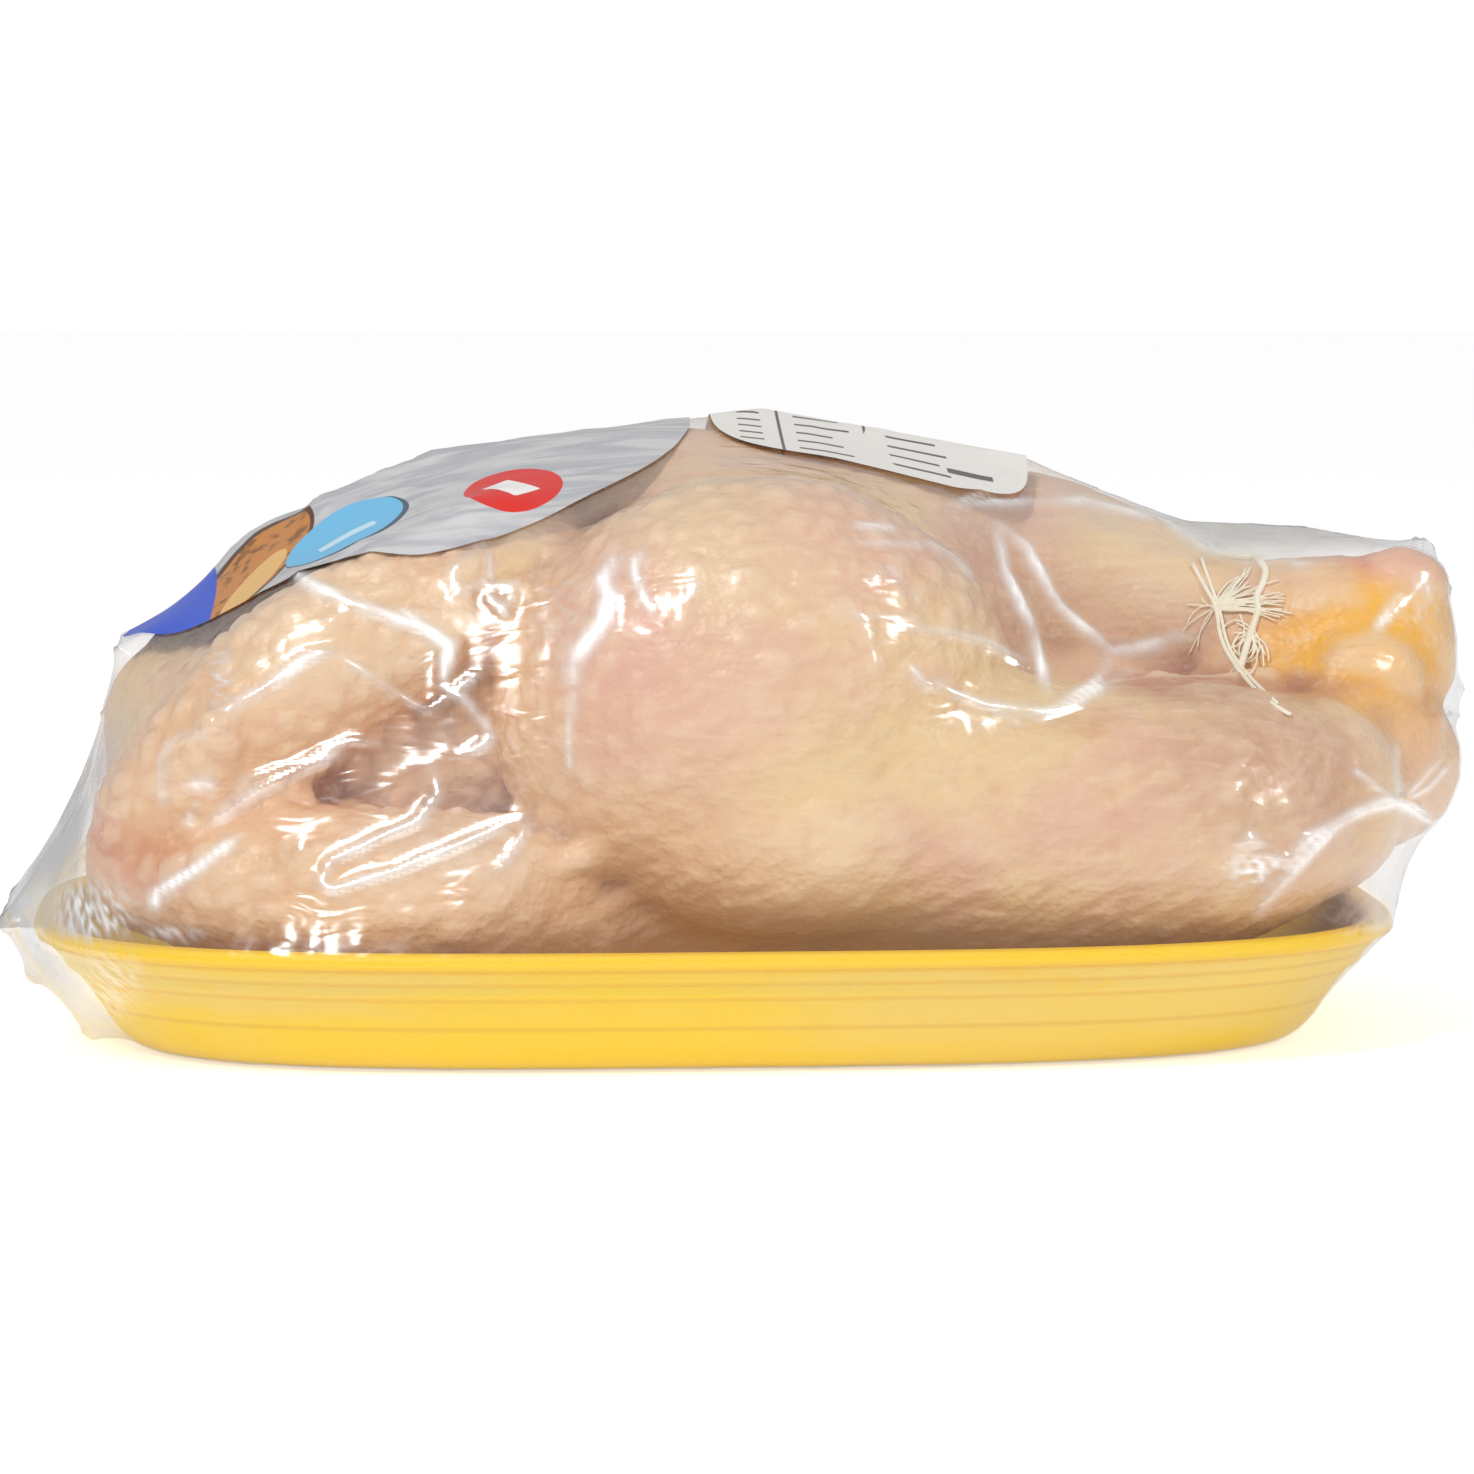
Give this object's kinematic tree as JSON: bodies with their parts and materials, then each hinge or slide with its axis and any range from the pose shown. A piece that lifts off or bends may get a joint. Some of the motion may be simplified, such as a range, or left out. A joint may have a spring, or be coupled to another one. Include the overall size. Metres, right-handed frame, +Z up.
{
  "type": "whole raw chicken",
  "caption": "Whole raw chicken, breast up with tied legs, sealed in clear film on a shallow foam tray, with a printed label and a weight label.",
  "frame": {"origin": "middle of the pack's footprint box, on the surface that the tray stands on", "axes": "+X along the bird from the neck end to the tied hocks, +Y towards the far side, +Z up out of the breast"},
  "size_m": [0.3166, 0.186, 0.1348],
  "materials": {
    "foam": "satin yellow expanded foam",
    "wrapped_skin": "moist raw skin under tight glossy clear film",
    "printed_paper": "semi-gloss grey label with fields of colour",
    "white_paper": "matte white thermal paper"
  },
  "bodies": {
    "root": {"tray": "foam", "chicken_in_film": "wrapped_skin", "printed_label": "printed_paper", "weight_label": "white_paper"}
  },
  "joints": []
}
